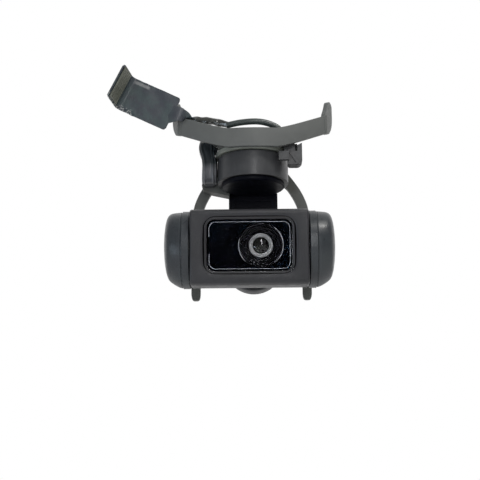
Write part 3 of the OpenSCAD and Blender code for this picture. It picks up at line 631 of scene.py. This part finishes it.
def edge_highlight_line(width, inset, skip):
    """Thin pale line just inside the edge of the glass, a painted highlight for light caught by the glass's
    chamfered edge; left open where skip(point) is true.
    """
    outer = round_rect(GLASS_W - 2 * inset, GLASS_H - 2 * inset, GLASS_CORNER - inset * 0.6, 10)
    inner = round_rect(GLASS_W - 2 * (inset + width), GLASS_H - 2 * (inset + width),
                       GLASS_CORNER - inset * 0.6 - width * 0.5, 10)
    shapes = []
    count = len(outer)
    for k in range(count):
        a, b, c, d = outer[k], outer[(k + 1) % count], inner[(k + 1) % count], inner[k]
        if skip((a + b) / 2):
            continue
        shapes.append(stack([[a, b, c, d]] * 2, [8.502, 8.53]))
    return joined(*shapes)


def dome_arc(radius, low, rise, angles):
    """(radius, height) points up the side of a dome, at angles in degrees."""
    return [(radius * math.cos(math.radians(a)), low + rise * math.sin(math.radians(a))) for a in angles]


def ring_arc(radius, width, start, finish, low, high):
    """Flat arc whose width fades out towards both ends."""
    steps = 64
    shapes = []
    for k in range(steps):
        t0, t1 = k / steps, (k + 1) / steps
        fade0, fade1 = (0.25 + 0.75 * min(1.0, 5 * t, 5 * (1 - t)) for t in (t0, t1))
        a0 = math.radians(start + (finish - start) * t0)
        a1 = math.radians(start + (finish - start) * t1)
        quad = [(math.cos(a) * r, math.sin(a) * r) for a, r in
                ((a0, radius - width * fade0 / 2), (a1, radius - width * fade1 / 2),
                 (a1, radius + width * fade1 / 2), (a0, radius + width * fade0 / 2))]
        shapes.append(stack([quad] * 2, [low, high]))
    return joined(*shapes)


def build_lens():
    # Barrel with a stepped cone inside
    barrel = [(5.5, -6.5), (5.5, -0.15), (5.38, 0.0), (4.95, 0.0), (4.72, -0.06), (4.62, -0.22), (4.2, -0.34),
              (4.12, -0.52), (3.72, -0.60), (3.64, -0.80), (3.24, -0.86), (3.16, -1.0), (2.97, -1.0),
              (2.0, -1.0), (2.0, -6.5)]
    piece("lens_cone", lathe([(r, h + 8.5) for r, h in barrel], 128), LENS, "camera",
          "lens_black", ["lens_barrel"], sharp=25)
    bezel = [(2.95, 7.5), (2.95, 7.98), (2.86, 8.08), (2.5, 8.1), (2.18, 8.06), (2.05, 7.94), (2.0, 7.7),
             (2.0, 7.5)]
    piece("lens_ring", lathe(bezel, 128), LENS, "camera", "bezel_grey", ["lens_bezel"], sharp=30)
    dome = [(0, 6.9), (1.98, 6.9), (1.98, 7.38)]
    dome += [*dome_arc(1.98, 7.38, 0.5, range(10, 90, 10)), (0, 7.88)]
    piece("front_element", lathe(dome, 96), LENS, "camera", "lens_glass", ["front_lens"])
    # Second element and iris, seen through the front lens
    iris = [(1.99, 6.05), (1.99, 6.45), (1.35, 6.35), (0.78, 6.18), (0.74, 5.9), (1.9, 5.7)]
    piece("lens_iris", lathe(iris, 72), LENS, "camera", "iris_olive")
    second = [(0, 5.3), (0.72, 5.3), *dome_arc(0.72, 5.6, 0.35, range(0, 90, 15)), (0, 5.95)]
    piece("second_element", lathe(second, 48), LENS, "camera", "iris_dark")


def build_painted_highlights():
    # Painted highlight: a pale line inside the window's edge, where the glass edge catches light
    line = edge_highlight_line(0.13, 0.42, lambda p: p[0] < 0 and -1.6 < p[1] < 2.0)
    piece("window_outline", line, FACE, "camera", "line_grey")
    # Painted highlights: pale fading arcs where the rim of the lens opening catches light
    arcs = joined(ring_arc(5.42, 0.14, 160, 226, 8.52, 8.55), ring_arc(5.42, 0.19, 57, -52, 8.52, 8.55))
    piece("lens_circle_line", arcs, LENS, "camera", "line_grey")


# ---- Drums ----

def build_drum(side, hand):
    """Ring, block and domed cap on one end of the camera."""
    place = CAPSULE @ SIDE[side]
    ring = [(9.7, 14.92), (9.58, 14.8), (8.7, 14.8), (8.7, 16.78), (9.42, 16.78), (9.5, 16.6), (9.7, 16.5)]
    block = stack([fillet([(-4.2, 9.0), (4.2, 9.0), (4.2, 12.0), (-4.2, 12.0)], 0.3)] * 2, [14.85, 16.75])
    piece(hand + "_drum_ring", joined(lathe(ring, 128), block), place, "roll_arm", "drum_grey",
          [hand + "_drum"], sharp=30)
    # The crown's middle lies a little above the axis, so that the cover tapers more from below
    crown = [(9.5, 16.84), (9.42, 17.4), (9.22, 18.1), (8.98, 18.8), (8.70, 19.4), (8.40, 19.85), (8.0, 20.2),
             (7.4, 20.5), (6.4, 20.78), (5.0, 21.02), (3.4, 21.18), (1.7, 21.27), (0.02, 21.3)]
    inside = [(0.02, 20.5), (6.6, 19.7), (7.6, 19.0), (8.1, 18.1), (8.7, 16.84)]
    rings = []
    for radius, out in crown + inside:
        lift = 0.58 * smooth_step((out - 16.84) / 3.4)
        rings.append([(-side * lift + p[0], p[1], out) for p in circle(radius, 128)])
    cover = loft(rings + [rings[0]], cap=False)
    tube = [(2.7, 15.9), (2.7, 20.6), (2.0, 20.6), (2.0, 15.9)] if side < 0 else \
        [(4.4, 17.0), (4.4, 20.3), (3.6, 20.3), (3.6, 17.0)]
    piece(hand + "_drum_cover", joined(cover, lathe(tube, 64)), place, "roll_arm", "drum_grey",
          [hand + "_drum_cap"], sharp=30)


# ---- Yaw stage ----

CUP_TOP, CUP_LOW = -3.6, -10.2
POST_Y, POST_T = 7.6, 1.6
ROLL_Z = -29
SWAP_YZ = Matrix(((1, 0, 0, 0), (0, 0, 1, 0), (0, 1, 0, 0), (0, 0, 0, 1)))


def upright(outline, y, thick):
    """Plate standing across the view: an (x, z) outline made solid from y backwards."""
    return moved(stack([outline, outline], [0, thick]), shift(0, y, 0) @ SWAP_YZ)


def build_yaw_cup():
    cup = [(1.0, CUP_LOW), (9.0, CUP_LOW), (9.13, CUP_LOW + 0.04), (9.2, CUP_LOW + 0.16),
           (9.2, CUP_TOP - 0.35), (9.14, CUP_TOP - 0.12), (8.98, CUP_TOP), (8.62, CUP_TOP),
           (8.5, CUP_TOP - 0.12), (8.5, CUP_LOW + 0.8), (1.0, CUP_LOW + 0.8)]
    piece("yaw_motor_cup", lathe(cup, 160), ROW, "yaw_arm", "cup_grey", ["yaw_cup"], sharp=30)


def build_yaw_post():
    disc = stack([circle(7.9, 128), circle(8.2, 128), circle(8.2, 128)],
                 [CUP_LOW - 1.0, CUP_LOW - 0.7, CUP_LOW])
    post = upright(fillet([(-6.5, -25), (-6.5, -10.4), (6.5, -10.4), (6.5, -25)], 0.15), POST_Y, POST_T)
    rib = upright(fillet([(-5.6, -24), (-5.6, -12.0), (5.6, -12.0), (5.6, -24), (4.9, -24), (4.9, -12.7),
                          (-4.9, -12.7), (-4.9, -24)], 0.3), POST_Y - 0.3, 0.6)
    body = combine(solid(disc), [solid(post), solid(rib)], "UNION")
    housing = moved(lathe([(0, 0), (7.95, 0), (7.95, 8), (0, 8)], 96), shift(0, 5, ROLL_Z) @ BACK)
    body = combine(body, [solid(housing)])
    # Painted shade: the post and its disc are painted near black for the shade under the cup
    piece("yaw_arm_post", body, ROW, "yaw_arm", "post_black", ["yaw_post"], edge=0.12)


def build_leg(side, hand):
    outline = fillet([(4, 25.4), (9.0, 25.4), (11.4, 22.3), (13.6, 19.0), (15.3, 15.0), (15.8, 9.0),
                      (15.8, -9.0), (15.5, -10.3), (13.7, -10.3), (13.4, -9.0), (13.4, 9.4), (12.6, 14.7),
                      (10.9, 18.2), (8.9, 21.0), (4, 21.0)],
                     [0.3, 2, 2.5, 3, 3, 4, 0.6, 0.7, 0.7, 0.6, 4, 3, 2.5, 2, 0.3], 6)
    flat = [(side * x - 0.65, z + ROLL_Z) for x, z in outline]
    cup = moved(lathe([(0, 0), (9.24, 0), (9.24, 9), (0, 9)], 128), shift(0, 0, CUP_LOW - 1.2))
    body = combine(solid(upright(flat, POST_Y, POST_T)), [solid(cup)])
    piece(hand + "_leg", body, ROW, "yaw_arm", "leg_grey", [hand + "_guard_leg"], edge=0.35)


def build_clamp():
    outline = fillet([(-13.6, -9.0), (-13.4, -8.3), (-9.3, -8.3), (-9.3, -9.3), (-8.4, -9.3), (-7.6, -10.2),
                      (-6.3, -10.4), (-6.3, -11.95), (-10.6, -11.0), (-13.2, -10.3)],
                     [0.4, 0.3, 0.2, 0.1, 0.1, 0.1, 0.1, 0.1, 0.8, 0.5])
    body = combine(solid(upright(outline, 4.0, 3.6)), [solid(box((-12.7, 3.5, -9.6), (-10.1, 6.2, -9.0)))])
    piece("flex_clamp", body, ROW, "yaw_arm", "leg_grey", ["cable_clamp"], edge=0.15)


def build_flex_loop():
    """Folded flex that hangs from the bracket beside the cup; its turns show as upright folds."""
    path = [(-9.0, 0.2, 0.5), (-10.4, 0.0, 0.75), (-11.6, -0.2, 0.35), (-11.75, -0.3, -1.0),
            (-11.45, -0.3, -2.8), (-11.25, -0.3, -5.0), (-11.3, -0.3, -7.2), (-11.35, 0.0, -8.4),
            (-11.4, 1.5, -9.2), (-11.4, 3.2, -9.3), (-11.4, 4.8, -9.3)]
    line = spline(path, 8)
    count = len(line)
    rings = []
    folds = 96
    for i, point in enumerate(line):
        t = i / (count - 1)
        wide = 1.95 + 0.35 * math.exp(-((t - 0.27) / 0.09) ** 2) - 0.72 * smooth_step((t - 0.80) / 0.12)
        deep = 2.3 - 2.08 * smooth_step((t - 0.66) / 0.18) - 1.2 * smooth_step((0.22 - t) / 0.2)
        ahead = (line[min(i + 1, count - 1)] - line[max(i - 1, 0)]).normalized()
        across = Vector((1, 0, 0)).lerp(Vector((0, 0, 1)), smooth_step((0.3 - t) / 0.2)).normalized()
        across = (across - ahead * across.dot(ahead)).normalized()
        back = ahead.cross(across).normalized()
        ring = []
        for k in range(folds):
            a = 2 * math.pi * k / folds
            x = math.copysign(abs(math.cos(a)) ** 0.45, math.cos(a))
            y = math.copysign(abs(math.sin(a)) ** 0.45, math.sin(a))
            # Sharp valleys between the folds, drifting a little along the length
            fold = math.sin(2.6 * math.pi * x + 0.5 * math.sin(5 * t) + 0.4) ** 2
            groove = min(0.30, deep * 0.3) * (1 - fold) * abs(y)
            # The rear inner corner reaches round the cup; the side is pinched at the motor flange
            rear = max(-y, 0) * smooth_step((0.72 - t) / 0.1)
            side = max(x, 0) * (0.50 * rear ** 2 - 0.45 * math.exp(-((point.z + 2.65) / 0.8) ** 2))
            ring.append(point + across * (x * wide + side) + back * (y * (deep - groove) - 1.2 * rear))
        rings.append(ring)
    made = piece("flex_loop", loft(rings), ROW, "base", "loop_black", ["yaw_flex_loop"], sharp=50)
    made.parent = None
    del made["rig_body"]
    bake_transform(made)


# ---- Fixed bracket ----

BOW_R, BOW_Y, STRIP_T, STRIP_H, STRIP_LOW = 37.0, 26.5, 1.1, 5.0, -3.1
FOLD_X = 18.9
BOSS_ANGLES, BOSS_CIRCLE = (90, 210, 330), 6.2
MOTOR_SCREW_ANGLES, MOTOR_SCREW_CIRCLE = (30, 150, 270), 7.1
EAR_SLANT = 66


def on_circle(radius, degrees):
    a = math.radians(degrees)
    return shift(radius * math.cos(a), radius * math.sin(a), 0)


def rod(radius, low, high, steps):
    """Upright cylinder between two heights."""
    return lathe([(0, low), (radius, low), (radius, high), (0, high)], steps)


def strip_rise(x):
    return 5.0 * (max(abs(x) - 6.0, 0.0) / (FOLD_X - 6.0)) ** 1.3


def bow(x, inset=0.0):
    return BOW_Y - math.sqrt((BOW_R - inset) ** 2 - x * x)


def ear_place(side):
    mirror = Matrix.Scale(-1, 4, (1, 0, 0)) if side < 0 else Matrix.Identity(4)
    return mirror @ shift(FOLD_X, bow(FOLD_X), STRIP_LOW + 5.0) @ Matrix.Rotation(
        math.radians(EAR_SLANT), 4, "Z") @ FRONT


def build_bracket():
    rings = []
    half_t = STRIP_T / 2
    section = fillet([(-half_t, 0), (-half_t, STRIP_H), (half_t, STRIP_H), (half_t, 0)], 0.22, 3)
    steps = 56
    for i in range(steps + 1):
        x = -FOLD_X - 0.2 + (2 * FOLD_X + 0.4) * i / steps
        middle = Vector((x, bow(x, STRIP_T / 2), STRIP_LOW + strip_rise(x)))
        out = Vector((x, middle.y - BOW_Y, 0)).normalized()
        rings.append([middle + out * a + Vector((0, 0, b)) for a, b in section])
    parts = []
    ear = fillet([(-0.25, 0.0), (-0.25, 4.9), (1.2, 6.8), (2.4, 9.2), (3.6, 9.9), (5.3, 9.3), (5.3, 4.6),
                  (4.5, 2.4), (2.4, 0.3)], [0.1, 0.9, 1.4, 1.0, 0.9, 1.3, 1.4, 1.6, 1.0], 6)
    for side in (-1, 1):
        parts.append(solid(moved(stack([ear, ear], [-STRIP_T, -0.02]), ear_place(side))))
    link = [(x / 2, bow(x / 2, STRIP_T / 2)) for x in range(-18, 19)] + [(9.0, 0), (-9.0, 0)]
    disc = circle(8.2, 128)
    tail = fillet([(-3, 0), (3, 0), (3, 13), (2.1, 15.1), (0, 16), (-2.1, 15.1), (-3, 13)],
                  [0, 0, 1, 1.2, 1.2, 1.2, 1], 5)
    for outline in (link, disc, tail):
        parts.append(solid(stack([outline, outline], [-2, -1])))
    tools = [solid(stack([circle(2.7, 48)] * 2, [-3, 0])),
             solid(stack([circle(1.3, 48, (0, 13))] * 2, [-3, 0]))]
    boss = lathe([(0, -1.5), (1.3, -1.5), (1.3, -0.15), (1.15, 0.0), (0, 0.0)], 40)
    for angle in BOSS_ANGLES:
        spot = on_circle(BOSS_CIRCLE, angle)
        parts.append(solid(moved(boss, spot)))
        tools.append(solid(moved(rod(0.6, -3, 0.5, 32), spot)))
    for angle in MOTOR_SCREW_ANGLES:
        tools.append(solid(moved(rod(0.5, -3, 0.5, 32), on_circle(MOTOR_SCREW_CIRCLE, angle))))
    body = combine(solid(loft(rings)), parts, "UNION")
    body = combine(body, tools)
    piece("bracket", body, ROW, "base", "bracket_grey", ["horn_bracket"], edge=0.09, sharp=32)


def build_flange():
    outline = []
    for k in range(160):
        direction = Vector((math.cos(2 * math.pi * k / 160), math.sin(2 * math.pi * k / 160)))
        along = BOW_Y * direction.y
        reach = along + math.sqrt(along ** 2 - BOW_Y ** 2 + (BOW_R - STRIP_T - 0.05) ** 2)
        outline.append(direction * min(9.7, reach))
    body = solid(stack([[p * 0.985 for p in outline], outline, outline, [p * 0.985 for p in outline]],
                       [-3.3, -3.15, -2.12, -2.0]))
    tube = solid(rod(2.7, -8.8, -3.0, 64))
    body = combine(body, [tube], "UNION")
    bores = [solid(rod(2.0, -12, 0, 48))]
    for angle in MOTOR_SCREW_ANGLES:
        bores.append(solid(moved(rod(0.45, -4, 0, 24), on_circle(MOTOR_SCREW_CIRCLE, angle))))
    # Painted light: the flange is painted paler than the bracket so that it looks lit
    piece("motor_flange", combine(body, bores), ROW, "base", "flange_lit_grey", ["yaw_mount"], sharp=32)


# ---- Cables and flex ----

def round_section(radius, sides=24, squash=1.0):
    return [(radius * math.cos(2 * math.pi * k / sides), radius * squash * math.sin(2 * math.pi * k / sides))
            for k in range(sides)]


def build_cables():
    route = [(-6.6, -7.2, 3.5), (-5.7, -7.3, 3.75), (-4.4, -7.4, 4.0), (-3.0, -7.5, 4.22),
             (-0.8, -7.6, 4.4), (1.2, -7.6, 4.42), (3.2, -7.5, 4.15), (5.2, -7.3, 3.5), (6.7, -7.1, 2.6),
             (7.2, -7, 1.3), (7.0, -6.9, 0), (6.8, -6.9, -0.95)]
    line = spline(route, 8)
    piece("signal_lead", sweep(line, lambda i: round_section(0.80, 24, 1.18), (0, 1, 0.2)), ROW, "base",
          "cable_green", ["signal_cable"])
    route = [(-17.0, -4.6, 5.7), (-16.0, -4.8, 5.95), (-14.6, -5.0, 5.85), (-12.6, -5.6, 5.5),
             (-10.4, -6.2, 5.1), (-8.2, -6.8, 4.4), (-6.2, -7.2, 3.7)]
    line = spline(route, 6)
    count = len(line)

    def wrapped(i):
        # Wrapped tape, pulled into flat facets and pinched folds
        section = []
        for k in range(14):
            a = 2 * math.pi * k / 14
            spot = Vector((i * 0.16, math.cos(a) * 0.9, math.sin(a) * 0.9))
            r = 0.98 + 0.22 * noise.noise(spot * 1.2) + 0.06 * math.sin(i * 0.7 + 2 * a)
            r *= 0.7 + 0.3 * math.sin(math.pi * min(max((i + 4) / (count + 7), 0), 1)) ** 0.5
            section.append((r * math.cos(a), r * math.sin(a)))
        return section

    piece("tape_wrap", sweep(line, wrapped, (0, 1, 0.2)), ROW, "base", "tape_black",
          ["taped_bundle"], sharp=24)


# The flex tail: a sheet that leans, then a bend, then a flap
TAIL_CORNER = (-22.5, -7, 2.4)
TAIL_LEAN = math.radians(25.8)
TAIL = shift(*TAIL_CORNER) @ FRONT @ Matrix.Rotation(-TAIL_LEAN, 4, "Z")
TAIL_L, TAIL_W, FLAP_L = 12.8, 9.5, 6.2
BEND_R, BEND_ANGLE = 1.6, math.radians(79)
BEND_L = BEND_R * BEND_ANGLE


def sheet_point(run, across):
    """Middle of the flex sheet: run is 0 at the neck and grows towards the bent end."""
    a = min(max((run - TAIL_L) / BEND_R, 0), BEND_ANGLE)
    normal = Vector((math.sin(a), 0, math.cos(a)))
    middle_r = BEND_R - 0.2
    base = Vector((-min(run, TAIL_L) - middle_r * math.sin(a), across, BEND_R - middle_r * math.cos(a)))
    beyond = max(run - TAIL_L - BEND_L, 0)
    base += beyond * Vector((-math.cos(a), 0, math.sin(a)))
    flat = smooth_step((TAIL_L - run) / 3)
    crumple = 0.14 * noise.noise(Vector((run * 0.30, across * 0.3, 3.1)))
    near_edge = smooth_step((2.2 - across) / 2.2) + 0.8 * smooth_step((across - TAIL_W + 1.8) / 1.8)
    fine = noise.noise(Vector((run * 0.9, across * 0.8, 7.7)))
    crumple += 0.5 * fine * smooth_step((run - 7) / 3) * near_edge
    return base + normal * crumple * flat, normal


def build_flex_tail():
    length = TAIL_L + BEND_L + FLAP_L
    columns, rows = 90, 30
    corner = 0.7
    top, low = [], []
    for i in range(columns + 1):
        run = length * i / columns
        short = min(run, length - run)
        cut = corner - math.sqrt(max(corner ** 2 - (corner - short) ** 2, 0)) if short < corner else 0
        for k in range(rows + 1):
            across = cut + (TAIL_W - 2 * cut) * k / rows
            middle, normal = sheet_point(run, across)
            top.append(middle + normal * 0.15)
            low.append(middle - normal * 0.15)
    size = rows + 1
    verts = top + low
    start = len(top)
    faces = []
    for i in range(columns):
        for k in range(rows):
            a = i * size + k
            faces.append((a, a + 1, a + size + 1, a + size))
            faces.append((start + a, start + a + size, start + a + size + 1, start + a + 1))
    rim = [i * size for i in range(columns + 1)] + [columns * size + k for k in range(1, size)]
    rim += [i * size + rows for i in range(columns - 1, -1, -1)] + [k for k in range(rows - 1, 0, -1)]
    for a, b in zip(rim, rim[1:] + rim[:1]):
        faces.append((a, b, start + b, start + a))
    piece("flex_sheet", (verts, faces), ROW @ TAIL, "base", "flex_grey", ["flex_tail"], sharp=40)
    # Neck that turns over the left arm of the bracket
    path = [(-21.8, -7.2, 6.6), (-20.8, -7.35, 6.7), (-19.7, -7.5, 6.8), (-18.8, -7.5, 6.7),
            (-18.0, -7.3, 6.4), (-17.2, -6.6, 6.2), (-16.4, -5.7, 6.1), (-15.6, -5.0, 5.8)]
    line = spline(path, 6)
    rings = []
    for i, point in enumerate(line):
        t = i / (len(line) - 1)
        ahead = (line[min(i + 1, len(line) - 1)] - line[max(i - 1, 0)]).normalized()
        turned = smooth_step((t - 0.5) / 0.4)
        across = Vector((0.42, 0, 0.9)).lerp(Vector((0.9, 0.35, -0.2)), turned).normalized()
        across = (across - ahead * across.dot(ahead)).normalized()
        normal = ahead.cross(across).normalized()
        half = 2.3 - 1.1 * smooth_step(t)
        rings.append([point + across * a * half + normal * b * 0.12
                      for a, b in ((-1, -1), (0, -1), (1, -1), (1, 1), (0, 1), (-1, 1))])
    piece("flex_neck", loft(rings), ROW, "base", "flex_grey", sharp=50)


# Inner side of the flap: x is 0 at the bend and -FLAP_L at the end edge, y runs across, z away from the flap
FLAP = TAIL @ shift(-TAIL_L, 0, BEND_R) @ Matrix.Rotation(BEND_ANGLE, 4, "Y") @ shift(0, 0, -BEND_R)
RIBS = 5
RIB_FOOT = 0.78


def build_connector():
    """Contact block on the flap, with ribs parallel to its end edge."""
    length, start, base, rise = 4.7, 0.55 - FLAP_L, 0.42, 0.13
    outline = [(start, base), (start, RIB_FOOT)]
    pitch = length / RIBS
    for k in range(RIBS):
        x = start + k * pitch
        outline += [(x + 0.08, RIB_FOOT), (x + 0.28, RIB_FOOT + rise)]
        outline += [(x + 0.60, RIB_FOOT + rise), (x + 0.82, RIB_FOOT)]
    outline += [(start + length, RIB_FOOT), (start + length, base)]
    rings = [[(x, y, z) for x, z in outline] for y in (0.45, TAIL_W - 0.45)]
    piece("flex_contact_block", loft(rings), ROW @ FLAP, "base", "contact_grey", ["flex_connector"],
          edge=0.04, sharp=50)


def build_stop_clip():
    """Clip beside the cup: hooked body with a blind slot and a brace, foot, tab and finger."""
    outline = fillet([(8.9, -3.4), (12.6, -1.4), (12.6, -6.5), (11.8, -7.3), (9.3, -7.3), (8.9, -6.9)],
                     [0.1, 0.25, 0.4, 0.5, 0.3, 0.2])
    body = solid(upright(outline, -7.6, 2.8))
    parts = [solid(box((8.2, -7.0, -1.0), (10.6, -4.8, -0.5))),
             solid(box((8.75, -7.0, -3.6), (10.75, -4.8, -0.5))),
             solid(box((8.0, -7.0, -3.6), (8.8, -5.65, -0.5))),
             solid(box((10.6, -5.2, -3.7), (11.5, -4.8, -0.9))),
             solid(box((6.6, -8.7, -6.2), (9.2, -7.55, -3.9))),
             solid(upright([(9.3, -4.1), (9.9, -3.9), (11.9, -6.7), (11.2, -6.9)], -7.8, 0.4)),
             solid(box((8.9, -7.8, -7.2), (12.3, -7.4, -6.75)))]
    slot_cut = solid(box((10.75, -8.5, -3.6), (11.4, -5.3, 0)))
    body = combine(body, parts, "UNION")
    piece("stop_clip", combine(body, [slot_cut]), ROW, "base", "clip_grey", ["yaw_stop_clip"], edge=0.12)


# ---- CAD nodes that are carried over ----

EDGE_WIDTHS = {"roll_housing": 0.25, "roll_rear_cover": 0.25, "roll_beam": 0.2,
               "board_connector": 0.08, "heat_spreader": 0.1, "pitch_rotor": 0.12, "roll_rotor_cup": 0.12}


def dress_cad_nodes():
    for name, thing in frame["nodes"].items():
        if thing.hide_render:
            continue
        thing.data.materials.clear()
        thing.data.materials.append(PAINTS[slots[name]].material)
        weld = thing.modifiers.new("weld", "WELD")
        weld.merge_threshold = 0.00001
        soften(thing, EDGE_WIDTHS.get(name, 0.05))


# ---- Everything in order ----

add_camera()
add_stage()
build_paints()
build_camera_body()
build_glass()
build_lens()
build_painted_highlights()
for side_sign, side_name in ((-1, "left"), (1, "right")):
    build_drum(side_sign, side_name)
    build_leg(side_sign, side_name)
build_yaw_cup()
build_yaw_post()
build_clamp()
build_flex_loop()
build_bracket()
build_flange()
build_cables()
build_flex_tail()
build_connector()
build_stop_clip()
dress_cad_nodes()
